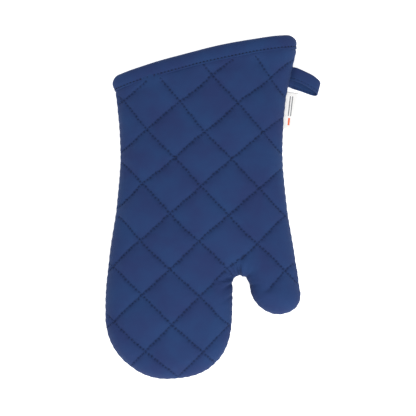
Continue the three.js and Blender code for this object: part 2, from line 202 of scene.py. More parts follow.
def ripple(points, wavelength, seed, waves=7):
    """Smooth noise of about plus or minus one: a few plane waves in random directions."""
    rng = np.random.default_rng(seed)
    total = 0
    for _ in range(waves):
        angle, phase = rng.uniform(0, 2 * math.pi, 2)
        number = 2 * math.pi / (wavelength * rng.uniform(0.7, 1.4))
        direction = number * np.array([math.cos(angle), math.sin(angle)])
        total = total + np.cos(points[:, :2] @ direction + phase)
    return total * math.sqrt(2 / waves)


def new_piece(name, points, polygons, material, attributes=None, normals=None):
    """A mesh object from pattern points in millimetres."""
    mesh = bpy.data.meshes.new(name)
    mesh.from_pydata(to_frame(points).tolist(), [], [list(map(int, p)) for p in polygons])
    mesh.shade_smooth()
    for key, values in (attributes or {}).items():
        kind, field = ("FLOAT_VECTOR", "vector") if values.ndim == 2 else ("FLOAT", "value")
        mesh.attributes.new(key, kind, "POINT").data.foreach_set(field, values.astype(np.float32).ravel())
    if normals is not None:
        mesh.normals_split_custom_set_from_vertices(normals.tolist())
    piece = bpy.data.objects.new(name, mesh)
    bpy.context.scene.collection.objects.link(piece)
    piece.data.materials.append(material)
    return piece


# ---------------------------------------------------------------- the pattern

slope = math.radians(CUFF_SLOPE)
CUFF_ALONG = np.array([math.cos(slope), math.sin(slope)])
CUFF_OUT = np.array([-CUFF_ALONG[1], CUFF_ALONG[0]])
CUFF_MIDDLE = np.array([CUFF_SHIFT, CUFF_HEIGHT])
CROTCH_TOP = np.array([FINGER_HALF_WIDTH + CROTCH_RADIUS, CROTCH_HEIGHT])
FINGER_FOLD_Y = CROTCH_HEIGHT - FINGER_FOLD_DROP


def cuff_point(along, out):
    """Points given by their distance along the cuff from its middle and out past its edge."""
    along, out = np.asarray(along, float)[..., None], np.asarray(out, float)[..., None]
    return CUFF_MIDDLE + along * CUFF_ALONG + out * CUFF_OUT


def past_cuff(points):
    """How far points lie past the straight line between the cuff's corners."""
    return (points[:, :2] - CUFF_MIDDLE) @ CUFF_OUT


def along_cuff(points):
    return (points[:, :2] - CUFF_MIDDLE) @ CUFF_ALONG


def cuff_bulge(along):
    """How far the bowed cuff edge lies past its straight line."""
    return CUFF_BOW * (1 - (along / (CUFF_WIDTH / 2 + BINDING_WIDTH)) ** 2)


def past_bowed_cuff(points):
    """How far points lie past the bowed cuff edge."""
    return past_cuff(points) - cuff_bulge(along_cuff(points))


def outline_line():
    """The mitt's outline, counter-clockwise and closed, with straight spare cloth past the cuff."""
    r = FINGER_HALF_WIDTH
    quarter = 0.5523
    crotch = CROTCH_TOP
    splay = math.radians(THUMB_SPLAY)
    lean = np.array([math.sin(splay), -math.cos(splay)])
    across = np.array([math.cos(splay), math.sin(splay)])
    half = THUMB_WIDTH / 2
    end = np.array([crotch[0] + CROTCH_RADIUS + THUMB_OFFSET + half, THUMB_END_HEIGHT + half])
    inner, outer, tip = end - across * half, end + across * half, end + lean * half
    wrist_left = np.array([WRIST_SHIFT - WRIST_WIDTH / 2, WRIST_HEIGHT])
    wrist_right = np.array([WRIST_SHIFT + WRIST_WIDTH / 2, WRIST_HEIGHT + 10])
    left, right = cuff_point(-CUFF_WIDTH / 2, 0), cuff_point(CUFF_WIDTH / 2, 0)
    spare = CUFF_OUT * CUFF_SPARE
    up = np.array([0, 1])
    shoulder = crotch[1] - CROTCH_RADIUS - 2
    pieces = [
        bezier((-r, 0), (-r, -quarter * r), (-quarter * r, -r), (0, -r), 60),
        bezier((0, -r), (FINGER_END_FULLNESS * r, -r), (r, -FINGER_END_FULLNESS * r), (r, 0), 60),
        straight((r, 0), (r, shoulder), 16),
        bezier((r, shoulder), (r, shoulder + 6), (crotch[0] - 3.5, crotch[1]), crotch, 12),
        bezier(crotch, crotch + (6, 0), inner - 16 * lean, inner - 4 * lean, 24),
        bezier(inner - 4 * lean, inner + 11 * lean, tip + (-11, 0), tip, 24),
        bezier(tip, tip + (14, 1), outer + 18 * lean, outer + 4 * lean, 24),
        bezier(outer + 4 * lean, outer - 52 * lean, wrist_right - 50 * up, wrist_right, 90),
        bezier(wrist_right, wrist_right + 60 * up, right - 20 * CUFF_OUT, right - 12 * CUFF_OUT, 50),
        straight(right - 12 * CUFF_OUT, right + spare, 30),
        straight(right + spare, left + spare, 30),
        straight(left + spare, left - 6 * CUFF_OUT, 30),
        bezier(left - 6 * CUFF_OUT, left + (3.4, -34), wrist_left + 40 * up, wrist_left, 50),
        bezier(wrist_left, wrist_left - 50 * up, (-r, 58), (-r, 0), 80),
    ]
    line = np.concatenate(pieces)
    return resampled(np.concatenate([line, line[:1]]), 1.9)[:-1]


OUTLINE = outline_line()
OUTLINE_ALONG = lengths_along(OUTLINE)


def outline_normals():
    tangents = unit(np.roll(OUTLINE, -1, axis=0) - np.roll(OUTLINE, 1, axis=0))
    return np.stack([-tangents[:, 1], tangents[:, 0]], axis=1)


OUTLINE_INWARD = outline_normals()


class Plan:
    """Points of the pattern seen from above, with where they lie on the padded wall."""

    def __init__(self, points):
        self.xy = np.asarray(points, float)[:, :2]
        chunks = np.array_split(self.xy, max(1, len(self.xy) // 1500))
        found = [self._locate(chunk) for chunk in chunks]
        self.inside, self.foot, self.inward, self.round, self.soft = (
            np.concatenate(values) for values in zip(*found)
        )
        self.turn = np.arccos(np.clip(1 - self.inside / EDGE_ROUNDING, 0, 1))
        rise = UPPER_DOME * (1 - np.exp(-((np.maximum(self.soft, 0) / DOME_REACH) ** 2)))
        lower = np.full(len(self.xy), SEAM_HEIGHT - CLOTH_SWELL)
        self.height = {"upper": UPPER_RISE + rise, "lower": lower}

    @staticmethod
    def _locate(xy):
        """Distance in, nearest outline point, way in, place round the outline and a soft distance."""
        ends = np.roll(OUTLINE, -1, axis=0) - OUTLINE
        offset = xy[:, None] - OUTLINE
        share = np.clip((offset * ends).sum(2) / (ends * ends).sum(1), 0, 1)
        apart = np.linalg.norm(offset - share[..., None] * ends, axis=2)
        best = apart.argmin(1)
        rows = np.arange(len(xy))
        t = share[rows, best][:, None]
        foot = OUTLINE[best] + t * ends[best]
        after = (best + 1) % len(OUTLINE)
        inward = unit((1 - t) * OUTLINE_INWARD[best] + t * OUTLINE_INWARD[after])
        side = np.sign(((xy - foot) * inward).sum(1))
        inside = apart[rows, best] * np.where(side == 0, 1, side)
        reach = 9.0
        soft = -reach * np.log(np.exp(-np.linalg.norm(offset, axis=2) / reach).mean(1) * 30)
        return inside, foot, inward, OUTLINE_ALONG[best] + t[:, 0] * OUTLINE_ALONG[1], soft

    def surface(self, face, depth):
        """The wall's points at a depth below its outer envelope, in pattern millimetres."""
        sign = 1 if face == "upper" else -1
        inset = depth + (EDGE_ROUNDING - depth) * (1 - np.cos(self.turn))
        rounded = self.foot + self.inward * inset[:, None]
        xy = np.where((self.inside < EDGE_ROUNDING)[:, None], rounded, self.xy)
        z = SEAM_HEIGHT + sign * (self.height[face] - depth) * np.sin(self.turn)
        return np.column_stack([xy, z])

    def spread(self, reach):
        """The points' plan with the rounded edge rolled out evenly to a distance outside the outline."""
        share = self.turn / (math.pi / 2)
        rolled = self.foot + self.inward * (share * (EDGE_ROUNDING + reach) - reach)[:, None]
        return np.where((self.inside < EDGE_ROUNDING)[:, None], rolled, self.xy)

    def flat(self):
        """Where the points lie on the flat cloth, before the edge is rounded over."""
        width = math.pi / 4 * (self.height["upper"] + EDGE_ROUNDING)[:, None]
        share = (self.turn / (math.pi / 2))[:, None]
        rolled = self.foot + self.inward * (EDGE_ROUNDING - (1 - share) * width)
        xy = np.where((self.inside < EDGE_ROUNDING)[:, None], rolled, self.xy)
        return np.column_stack([xy, np.zeros(len(xy))])


# ---------------------------------------------------------------- quilting lattice


def lattice_point(across, up):
    """Points of the quilting lattice, in diamonds across and up."""
    y = QUILT_ORIGIN[1] + up * QUILT_ROW + across * QUILT_SKEW * QUILT_COLUMN
    x = QUILT_ORIGIN[0] + across * QUILT_COLUMN + QUILT_BOW * (y - QUILT_BOW_CENTRE) ** 2
    return np.stack([x, y], axis=-1)


def quilt_wobble(xy):
    """How far the stitch lines stray from the lattice."""
    return QUILT_WOBBLE * np.stack([ripple(xy, 62, seed=31), ripple(xy, 62, seed=32)], axis=1)


def quilt_distances(xy):
    """Distances to the nearest stitch line of each set."""
    x, y = (xy - quilt_wobble(xy)).T
    across = (x - QUILT_ORIGIN[0] - QUILT_BOW * (y - QUILT_BOW_CENTRE) ** 2) / QUILT_COLUMN
    up = (y - QUILT_ORIGIN[1] - across * QUILT_SKEW * QUILT_COLUMN) / QUILT_ROW
    spacing = 1 / math.hypot(1 / QUILT_COLUMN, 1 / QUILT_ROW)
    return [np.abs(value - np.round(value)) * spacing for value in (across + up, across - up)]


def quilt_lines():
    """Every stitch line as a fine line of plan points, both sets of them."""
    up = np.linspace(-2, 5, 281)
    lines = [lattice_point(line - lean * up, up) for lean in (1, -1) for line in range(-6, 7)]
    return [line + quilt_wobble(line) for line in lines]


def needle_paths(line):
    """A stitch line's parts that lie on the cloth, as plan points half a stitch apart along the cloth."""
    plan = Plan(line)
    inside = (plan.inside > 0.8) & (past_bowed_cuff(line) < -BINDING_WIDTH - 0.6)
    inside &= ~((line[:, 0] > THUMB_END_PLAIN[0] - 6) & (line[:, 1] < THUMB_END_PLAIN[1]))
    surface = plan.surface("upper", np.zeros(len(line)))
    paths = []
    for part in np.split(np.arange(len(line)), np.flatnonzero(np.diff(inside)) + 1):
        if not inside[part[0]] or len(part) < 4:
            continue
        along = lengths_along(surface[part])
        count = int(along[-1] / (STITCH_PITCH / 2))
        wanted = np.linspace(0, along[-1], count + 1)
        paths.append(sampled(line[part], along, wanted))
    return paths


# ---------------------------------------------------------------- depth of each layer

CROTCH_FOLDS = [  # (start, end) of the small creases that fan out from the crotch, and their depths
    ((68.4, 40), (65.8, 53), 3.2),
    ((60.5, 31), (49.5, 24), 1.8),
    ((60, 36.8), (46, 32.2), 1.6),
    ((74, 37), (85, 48), 0.9),
    ((76, 29), (93, 32), 0.9),
    ((61, 20), (48, 12), 0.8),
    ((65, 39), (56, 50), 0.7),
]


def crease_depth(xy):
    """Depth of the creases that fan out from the crotch."""
    total = np.zeros(len(xy))
    for start, end, depth in CROTCH_FOLDS:
        start, end = np.array(start, float), np.array(end, float)
        along = unit(end - start)
        offset = xy - start
        share = offset @ along / np.linalg.norm(end - start)
        apart = np.abs(offset @ np.array([-along[1], along[0]]))
        taper = np.clip(1.15 - share, 0, 1) ** 1.3 * smooth_step(share, -0.35, 0.1)
        width = 1.0 + 1.6 * np.clip(share, 0, 1)
        ridge = 0.5 * np.exp(-(((apart - 2.4 * width) / (1.3 * width)) ** 2))
        total += depth * taper * (np.exp(-((apart / width) ** 2)) - ridge)
    return total


def plain_share(xy):
    """Where the cloth has no quilting: 1 at the thumb's end and under the binding, 0 elsewhere."""
    beside, above = THUMB_END_PLAIN
    thumb_end = smooth_step(xy[:, 0], beside - 6, beside) * (1 - smooth_step(xy[:, 1], above - 6, above))
    under_binding = smooth_step(past_bowed_cuff(xy), -BINDING_WIDTH - 10, -BINDING_WIDTH)
    return np.maximum(thumb_end, under_binding)


def quilt_rise(plan):
    """How far the pads rise between their stitch lines, from 0 to about 1."""
    rise = np.ones(len(plan.xy))
    for apart in quilt_distances(plan.xy):
        rise *= 1 - np.exp(-apart / QUILT_SOFTNESS)
    return 1 - (1 - rise / (1 - math.exp(-3.8)) ** 2) * (1 - plain_share(plan.xy))


def cloth_depth(plan, face):
    """How far the outer cloth lies below the plain wall."""
    edge = np.sin(plan.turn)
    height = plan.height[face] * edge
    apart = np.minimum(*quilt_distances(plan.xy))
    depth = QUILT_DEPTH[face] * (1 - quilt_rise(plan)) * edge - CLOTH_SWELL
    depth += SEAM_TUCK * np.exp(-((height / SEAM_TUCK_REACH) ** 2))
    gathers = np.sin(plan.round * (2 * math.pi / 7.3) + 1.5 * np.sin(plan.round / 19))
    depth += 0.3 * gathers * np.exp(-height / 6)
    depth += crease_depth(plan.xy) * (0.5 + 0.5 * edge)
    nip = np.abs(past_bowed_cuff(plan.xy) + BINDING_WIDTH - BINDING_STITCH_INSET)
    depth += 1.3 * np.exp(-nip / 4) * edge
    depth += 0.35 * ripple(plan.xy, 48, seed=11 if face == "upper" else 12) * edge
    depth += 0.16 * ripple(plan.xy, 5.5, seed=13) * np.exp(-apart / 4) * edge
    return depth


def lining_depth(plan):
    nip = smooth_step(past_bowed_cuff(plan.xy), -BINDING_WIDTH - 14, -BINDING_WIDTH)
    return LINING_DEPTH - 1.6 * (1 - quilt_rise(plan)) - 0.6 * nip + 0.25 * ripple(plan.xy, 30, seed=21)


# ---------------------------------------------------------------- panels


def thinned(points, spacing):
    kept = [points[0]]
    for point in points[1:]:
        if np.linalg.norm(point - kept[-1]) >= spacing:
            kept.append(point)
    return np.array(kept)


def thinned_cloud(points, gap):
    """The points without those that lie too near an earlier one."""
    tree = point_tree([(*p, 0) for p in points])
    keep = [min(i for _, i, _ in tree.find_range((*p, 0), gap)) == n for n, p in enumerate(points)]
    return points[keep]


def edge_rings():
    """Plan points in rings, evenly spaced over the rounded edge."""
    rings = []
    for step in range(1, EDGE_RINGS + 1):
        distance = EDGE_ROUNDING * (1 - math.cos(step / EDGE_RINGS * math.pi / 2))
        ring = OUTLINE + OUTLINE_INWARD * distance
        ring = resampled(np.concatenate([ring, ring[:1]]), 0.8 * POINT_SPACING)[:-1]
        ring = ring[Plan(ring).inside > distance - 0.4]
        rings.append(thinned(ring, 0.7 * POINT_SPACING))
    return np.concatenate(rings)


def grid_points():
    """A triangular grid over the mitt's flat part."""
    low, high = OUTLINE.min(0), OUTLINE.max(0)
    rows = np.arange(low[1], high[1], POINT_SPACING * math.sqrt(3) / 2)
    columns = np.arange(low[0], high[0], POINT_SPACING)
    x, y = np.meshgrid(columns, rows)
    x = x + (np.arange(len(rows)) % 2)[:, None] * POINT_SPACING / 2
    points = np.column_stack([x.ravel(), y.ravel()])
    return points[Plan(points).inside > EDGE_ROUNDING + GRID_GAP]


def crease_points():
    """Close rows of points along the creases by the crotch."""
    rows = []
    for start, end, _ in CROTCH_FOLDS:
        line = resampled(np.array([start, end], float), 1.0)
        along = unit(line[-1] - line[0])
        rows.extend(line + side * np.array([-along[1], along[0]]) for side in np.linspace(-2.7, 2.7, 7))
    points = np.concatenate(rows)
    return points[Plan(points).inside > 0.4]


def clear_of(points, others, gap):
    """The points that keep a gap to the others, measured on the plain wall."""
    tree = point_tree(Plan(others).surface("upper", 0))
    apart = np.array([tree.find(p)[2] for p in Plan(points).surface("upper", 0)])
    return points[apart > gap]


def point_tree(points):
    tree = KDTree(len(points))
    for i, point in enumerate(points):
        tree.insert(point, i)
    tree.balance()
    return tree


def rim_polygon():
    """The panels' boundary: round the outline from the little-finger side, and back along the cuff."""
    kept = past_bowed_cuff(OUTLINE) < PANEL_END - 0.5
    order = (np.arange(len(OUTLINE)) + np.argmin(kept)) % len(OUTLINE)
    chain = OUTLINE[order[kept[order]]]
    half = CUFF_WIDTH / 2 - 0.2
    along = np.linspace(half, -half, round(CUFF_WIDTH / POINT_SPACING))
    return np.concatenate([chain, cuff_point(along, PANEL_END + cuff_bulge(along))])


def panel_mesh(paths):
    """The panels' plan as points and triangles, with points at every needle hole and stitch."""
    rim = rim_polygon()
    needle = thinned_cloud(np.concatenate([*paths, crease_points()]), 0.55)
    filling = np.concatenate([edge_rings(), grid_points()])
    filling = clear_of(filling, needle, GRID_GAP)
    inner = np.concatenate([needle, filling])
    inner = inner[(past_bowed_cuff(inner) < PANEL_END - GRID_GAP) & (Plan(inner).inside > 0.05)]
    points = np.concatenate([rim, inner])
    layout = [Vector(p) for p in Plan(points).spread(EDGE_SPREAD)]
    polygon = list(range(len(rim)))
    fold = [(i, (i + 1) % len(rim)) for i in polygon]
    made = geometry.delaunay_2d_cdt(layout, fold, [polygon], 1, 1e-5)
    origin = np.array([group[0] for group in made[3]])
    used, triangles = np.unique([f for f in made[2] if len(f) == 3], return_inverse=True)
    return points[origin[used]], triangles.reshape(-1, 3)


def inflate(piece, pinned, pressure, cap):
    """Puffs a panel up between its pinned points, and moves no point further than the cap."""
    start = coordinates(piece.data)
    group = piece.vertex_groups.new(name="pin")
    group.add([int(i) for i in np.flatnonzero(pinned)], 1.0, "REPLACE")
    cloth = piece.modifiers.new("Cloth", "CLOTH")
    settings = cloth.settings
    settings.quality = 4
    settings.mass = 0.25
    settings.tension_stiffness = 20
    settings.compression_stiffness = 12
    settings.shear_stiffness = 8
    settings.bending_stiffness = 0.15
    settings.shrink_min = 0
    settings.use_pressure = True
    settings.uniform_pressure_force = pressure
    settings.vertex_group_mass = "pin"
    settings.effector_weights.gravity = 0
    cloth.collision_settings.use_collision = False
    cloth.point_cache.frame_end = CLOTH_FRAMES
    for number in range(1, CLOTH_FRAMES + 1):
        bpy.context.scene.frame_set(number)
    done = piece.evaluated_get(bpy.context.evaluated_depsgraph_get()).to_mesh()
    moved = coordinates(done) - start
    piece.modifiers.remove(cloth)
    piece.vertex_groups.clear()
    bpy.context.scene.frame_set(1)
    size = np.linalg.norm(moved, axis=1, keepdims=True)
    moved *= cap * np.tanh(size / cap) / np.maximum(size, 1e-9)
    normals = np.array([vertex.normal for vertex in piece.data.vertices])
    inward = np.minimum((moved * normals).sum(1) + CLOTH_SINK * MM, 0)
    moved -= inward[:, None] * normals
    piece.data.vertices.foreach_set("co", (start + moved).astype(np.float32).ravel())
    piece.data.update()


def coordinates(mesh):
    values = np.zeros(3 * len(mesh.vertices), np.float32)
    mesh.vertices.foreach_get("co", values)
    return values.reshape(-1, 3).astype(float)


def subdivided(piece):
    """The points, polygons and attributes of a piece once subdivided. The piece is removed."""
    piece.modifiers.new("Subdivision", "SUBSURF").levels = 1
    mesh = piece.evaluated_get(bpy.context.evaluated_depsgraph_get()).to_mesh()
    points = from_frame(coordinates(mesh))
    polygons = np.zeros(len(mesh.loops), np.int32)
    mesh.loops.foreach_get("vertex_index", polygons)
    attributes = {}
    for key in ("cloth_position", "line_shade", "hole_shade"):
        data = mesh.attributes[key].data
        width, field = (3, "vector") if key == "cloth_position" else (1, "value")
        values = np.zeros(width * len(data), np.float32)
        data.foreach_get(field, values)
        attributes[key] = values.reshape(-1, 3) if width == 3 else values
    mesh_object = piece.data
    bpy.data.objects.remove(piece)
    bpy.data.meshes.remove(mesh_object)
    return points, polygons.reshape(-1, 4), attributes


def vertex_normals(points, polygons):
    """Area-weighted normals of a mesh of quads or triangles."""
    corners = points[polygons]
    crossed = np.cross(corners[:, 2] - corners[:, 0], corners[:, -1] - corners[:, 1])
    if polygons.shape[1] == 3:
        crossed = np.cross(corners[:, 1] - corners[:, 0], corners[:, 2] - corners[:, 0])
    total = np.zeros_like(points)
    for corner in range(polygons.shape[1]):
        for axis in range(3):
            total[:, axis] += np.bincount(polygons[:, corner], crossed[:, axis], len(points))
    return unit(total)


def hand_and_fingers(beyond):
    """The names and masks of the hand part and the finger end."""
    return ("hand", ~beyond), ("fingers", beyond)


def divided(name, points, polygons, material, attributes, beyond_fold):
    """A layer as two pieces that share their edge and normals: the hand part and the finger end."""
    normals = vertex_normals(points, polygons)
    pieces = []
    for part, mask in hand_and_fingers(beyond_fold):
        used, index = np.unique(polygons[mask], return_inverse=True)
        faces = index.reshape(-1, polygons.shape[1])
        own = {key: values[used] for key, values in attributes.items()}
        pieces.append(new_piece(f"{name}_{part}", points[used], faces, material, own, normals[used]))
    return pieces


def bend(hand, fingers, cad_name):
    """Bakes a layer's two pieces in place and hides the CAD layer's three sections, which they stand in for.
    """
    blend_at_folds(hand, fingers)
    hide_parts(f"{cad_name}_palm", f"{cad_name}_thumb")
    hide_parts(f"{cad_name}_fingers")


def blend_at_folds(hand, fingers):
    """Bakes the hand part's and the finger end's placements into their meshes."""
    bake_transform(hand)
    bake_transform(fingers)


def outer_cloth(face, plan, triangles, holes, material):
    """The outer cloth of one face, puffed up and subdivided."""
    points = plan.surface(face, cloth_depth(plan, face))
    faces = triangles if face == "upper" else triangles[:, ::-1]
    apart = np.minimum(*quilt_distances(plan.xy))
    tree = point_tree([(*p, 0) for p in holes])
    # hole_shade marks the needle holes: it sinks a dimple there and paints shade into it
    hole_shade = np.array([math.exp(-((tree.find((*p, 0))[2] / 0.45) ** 2)) for p in plan.xy])
    # line_shade paints shade along the stitch lines, where the cloth dips in
    line_shade = np.exp(-apart / 0.9) * smooth_step(plan.inside, 0.3, 3) * (1 - plain_share(plan.xy))
    attributes = {"cloth_position": plan.flat(), "line_shade": line_shade, "hole_shade": hole_shade}
    whole = new_piece(f"{face}_cloth", points, faces, material, attributes)
    near_edge = plan.inside < 1.2
    near_cuff = past_bowed_cuff(plan.xy) > -BINDING_WIDTH + 1
    pinned = near_edge | near_cuff | (apart < 0.4)
    inflate(whole, pinned, CLOTH_PRESSURE, CLOTH_CAP * MM)
    return subdivided(whole)


def finished_cloth(face, data, material):
    """Adds the needle dimples, presses the cloth flat on the floor and divides it at the finger fold."""
    points, polygons, attributes = data
    dimples = HOLE_DEPTH * attributes["hole_shade"]
    points = points - vertex_normals(points, polygons) * dimples[:, None]
    points[:, 2] = 0.1 + 0.3 * np.logaddexp(0, (points[:, 2] - 0.1) / 0.3)
    beyond = is_beyond_fold(attributes["cloth_position"][polygons].mean(1))
    hand, fingers = divided(f"{face}_outer_cloth", points, polygons, material, attributes, beyond)
    bend(hand, fingers, f"{face}_cloth")


def is_beyond_fold(points):
    """Which points lie past the finger fold, at the mitt's finger end."""
    return (points[:, 1] < FINGER_FOLD_Y) & (points[:, 0] < CROTCH_TOP[0])


def hidden_layers(face, plan, triangles, materials):
    """The wadding, a closed pad, and the lining behind it."""
    faces = triangles if face == "upper" else triangles[:, ::-1]
    cloth = cloth_depth(plan, face)
    lining = np.maximum(lining_depth(plan), cloth + WADDING_DEPTH + 1.3)
    outer = plan.surface(face, cloth + WADDING_DEPTH)
    inner = plan.surface(face, lining - 0.4)
    beyond = is_beyond_fold(plan.xy[triangles].mean(1))
    flat = plan.flat()
    pads = []
    for part, mask in hand_and_fingers(beyond):
        used, index = np.unique(faces[mask], return_inverse=True)
        name = f"{face}_pad_{part}"
        pads.append(closed_pad(name, outer[used], inner[used], index.reshape(-1, 3), materials["wadding"]))
    bend(*pads, f"{face}_wadding")
    points = plan.surface(face, lining)
    # line_shade paints shade along the lining's stitch lines
    attributes = {"cloth_position": flat, "line_shade": np.exp(-np.minimum(*quilt_distances(plan.xy)) / 2.5)}
    linings = divided(f"{face}_inner_cloth", points, faces[:, ::-1], materials["lining"], attributes, beyond)
    bend(*linings, f"{face}_lining")


def closed_pad(name, outer, inner, faces, material):
    """A pad between two surfaces that share their triangles, closed round its rim."""
    count = len(outer)
    edges = np.concatenate([faces[:, [0, 1]], faces[:, [1, 2]], faces[:, [2, 0]]])
    codes = edges[:, 0] * count + edges[:, 1]
    back = edges[:, 1] * count + edges[:, 0]
    rim = edges[~np.isin(codes, back)]
    walls = [[b, a, a + count, b + count] for a, b in rim]
    polygons = faces.tolist() + (faces[:, ::-1] + count).tolist() + walls
    return new_piece(name, np.concatenate([outer, inner]), polygons, material)


# ---------------------------------------------------------------- stitches


def stitch_template(sides=6, rings=5):
    """A short bowed thread with round ends: x along it, from -1 to 1, y across, and z up."""
    points, faces = [(-1, 0, 0)], []
    for ring in range(rings):
        x = math.cos(math.pi * (1 - (ring + 1) / (rings + 1)))
        radius = math.sqrt(max(0.0, 1 - abs(x) ** 3.5))
        for side in range(sides):
            angle = 2 * math.pi * side / sides
            points.append((x, radius * math.cos(angle), radius * math.sin(angle)))
    points.append((1, 0, 0))
    last = len(points) - 1
    for side in range(sides):
        after = (side + 1) % sides
        faces.append((0, 1 + after, 1 + side))
        faces.append((last, last - sides + side, last - sides + after))
        for ring in range(rings - 1):
            a, b = 1 + ring * sides + side, 1 + ring * sides + after
            faces.extend([(a, b, b + sides), (a, b + sides, a + sides)])
    return np.array(points), np.array(faces)


def stitches(
    name, centres, directions, normals, material, length=STITCH_LENGTH, radius=STITCH_RADIUS, seed=5
):
    """Many stitches as one piece, each a little different."""
    shape, faces = stitch_template()
    rng = np.random.default_rng(seed)
    sizes = rng.uniform(0.92, 1.08, (len(centres), 1, 1))
    turns = rng.normal(0, 0.06, (len(centres), 1))
    across = unit(np.cross(normals, directions))
    directions = unit(directions + turns * across)
    across = unit(np.cross(normals, directions))
    up = np.cross(directions, across)
    bow = 0.2 * (1 - 2.4 * shape[:, 0] ** 2)
    parts = shape[None] * np.array([length / 2, radius, 0.8 * radius]) * sizes
    points = centres[:, None] + parts[..., :1] * directions[:, None] + parts[..., 1:2] * across[:, None]
    points = points + (parts[..., 2:] + bow[None, :, None]) * up[:, None]
    offsets = np.arange(len(centres))[:, None, None] * len(shape)
    return new_piece(name, points.reshape(-1, 3), (faces[None] + offsets).reshape(-1, 3), material)


def surface_tree(points, polygons):
    return BVHTree.FromPolygons(points.tolist(), polygons.tolist())


def on_surface(points, tree):
    """The nearest points of a surface, and its normals there."""
    found = [tree.find_nearest(Vector(p)) for p in points]
    return np.array([f[0][:] for f in found]), np.array([f[1][:] for f in found])


def run_of_stitches(line, tree):
    """Centres, directions and normals of stitches along points that lie half a stitch apart."""
    points, normals = on_surface(line, tree)
    holes = points[::2]
    count = len(holes) - 1
    centres, up = points[1::2][:count], normals[1::2][:count]
    return centres + 0.1 * up, unit(holes[1:] - holes[:-1]), up


def quilting_runs(face, tree, paths):
    """The stitch runs of one face, on its cloth."""
    runs = []
    for path in paths:
        plan = Plan(path)
        runs.append(run_of_stitches(plan.surface(face, cloth_depth(plan, face)), tree))
    return [np.concatenate(values) for values in zip(*runs)]


def quilting(face, runs, material):
    centres, directions, normals = runs
    beyond = is_beyond_fold(centres)
    pieces = []
    for part, mask in hand_and_fingers(beyond):
        name = f"{face}_stitches_{part}"
        pieces.append(stitches(name, centres[mask], directions[mask], normals[mask], material))
    bend(*pieces, f"{face}_quilting")


def side_seam(material):
    """Seam stitches, sunk in the crease between the two faces."""
    keep = past_cuff(OUTLINE) < -BINDING_WIDTH - 0.5
    start = np.argmax(~keep)
    order = (np.arange(len(OUTLINE)) + start) % len(OUTLINE)
    order = order[keep[order]]
    line = OUTLINE[order] + OUTLINE_INWARD[order] * (SEAM_TUCK + 0.1)
    line = np.column_stack([line, np.full(len(line), float(SEAM_HEIGHT))])
    line = resampled(line, 0.5)
    along = lengths_along(line)
    wanted = np.arange(STITCH_PITCH, along[-1] - STITCH_PITCH, STITCH_PITCH)
    centres = sampled(line, along, wanted)
    ahead = sampled(line, along, wanted + 1)
    directions = unit(ahead - centres)
    normals = np.column_stack([directions[:, 1], -directions[:, 0], np.zeros(len(directions))])
    beyond = is_beyond_fold(centres)
    hand, fingers = (
        stitches(f"side_seam_{part}", centres[m], directions[m], normals[m], material)
        for part, m in hand_and_fingers(beyond)
    )
    blend_at_folds(hand, fingers)
    sides = ["outer_side", "crotch", "thumb_side", "thumb"]
    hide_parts(*[f"seam_thread_{side}" for side in sides])
    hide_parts("seam_thread_fingers")


# ---------------------------------------------------------------- cuff binding

# Round the folded strip, from its lower edge over the end and back: (past the cuff edge, depth).
BINDING_PROFILE = [
    (-12.1, 1.2), (-12.8, 0.8), (-13.0, 0.1), (-12.6, -0.5), (-11.8, -0.6), (-11.0, 0.0),
    (-10.2, -0.5), (-8.6, -1.1), (-6.0, -1.4), (-3.4, -1.3), (-1.2, -0.7), (0.6, 0.8),
    (1.4, 3.0), (1.3, 5.4), (0.4, 7.4), (-1.4, 8.4), (-4.0, 8.7), (-8.0, 8.6),
    (-10.2, 8.2), (-11.0, 7.7), (-11.8, 8.1), (-12.4, 7.7), (-12.2, 7.0), (-9.0, 6.9),
    (-3.0, 6.9), (-0.2, 6.2), (0.2, 4.0), (-0.4, 2.0), (-3.0, 0.9), (-8.0, 0.9),
    (-10.8, 1.0),
]
BINDING_STITCH_ROWS = ((-11.0, 0.0), (-11.0, 7.7))
RING_TURN = 400  # on the lower face, distances round the cuff are counted back from this


def cuff_ring():
    """Where the rings round the cuff run: distances along the cuff, and which face each is on."""
    half = CUFF_WIDTH / 2
    turns = np.linspace(0, math.pi / 2, 12)
    rounded = half - EDGE_ROUNDING * (1 - np.cos(turns))
    middle = np.linspace(rounded[-1], -rounded[-1], 76)[1:-1]
    upper = np.concatenate([rounded, middle, -rounded[::-1]])
    along = np.concatenate([upper, upper[::-1][1:-1]])
    is_upper = np.arange(len(along)) < len(upper)
    return along, is_upper


def cuff_surface(along, is_upper, out, depth):
    """Points on the wall near the cuff. They may lie past its edge."""
    out = out + cuff_bulge(along)
    plan = Plan(cuff_point(along, out))
    plan.inside = CUFF_WIDTH / 2 - np.abs(along)
    plan.turn = np.arccos(np.clip(1 - plan.inside / EDGE_ROUNDING, 0, 1))
    side = np.sign(along)[:, None]
    plan.foot = cuff_point(np.sign(along) * CUFF_WIDTH / 2, out)
    plan.inward = -side * CUFF_ALONG
    upper, lower = plan.surface("upper", depth), plan.surface("lower", depth)
    return np.where(is_upper[:, None], upper, lower)


def binding_ring(out, depth):
    """One ring of the binding, with the strip's small unevenness."""
    along, is_upper = cuff_ring()
    around = np.where(is_upper, along, RING_TURN - along)
    depth = np.full(len(along), float(depth))
    near_stitches = math.exp(-(((out + 10.9) / 3.2) ** 2))
    pleats = np.sin(around * (2 * math.pi / 6.1) + 1.7 * np.sin(around / 17))
    waves = np.sin(around / 23 + out / 9) + 0.6 * np.sin(around / 9.5 - out / 6)
    depth += 0.22 * near_stitches * pleats + 0.22 * waves
    to_end = CUFF_WIDTH / 2 - np.abs(along)
    depth -= 1.3 * smooth_step(-to_end, -9, 0)
    depth = np.where(is_upper, depth, np.maximum(depth, 0))
    corner = np.clip(1 - to_end / BINDING_CORNER, 0, 1)
    drop = BINDING_CORNER * (1 - np.sqrt(1 - 0.95 * corner**2)) * smooth_step(out, -9, 1)
    return cuff_surface(along, is_upper, out + 0.25 * waves - drop, depth)


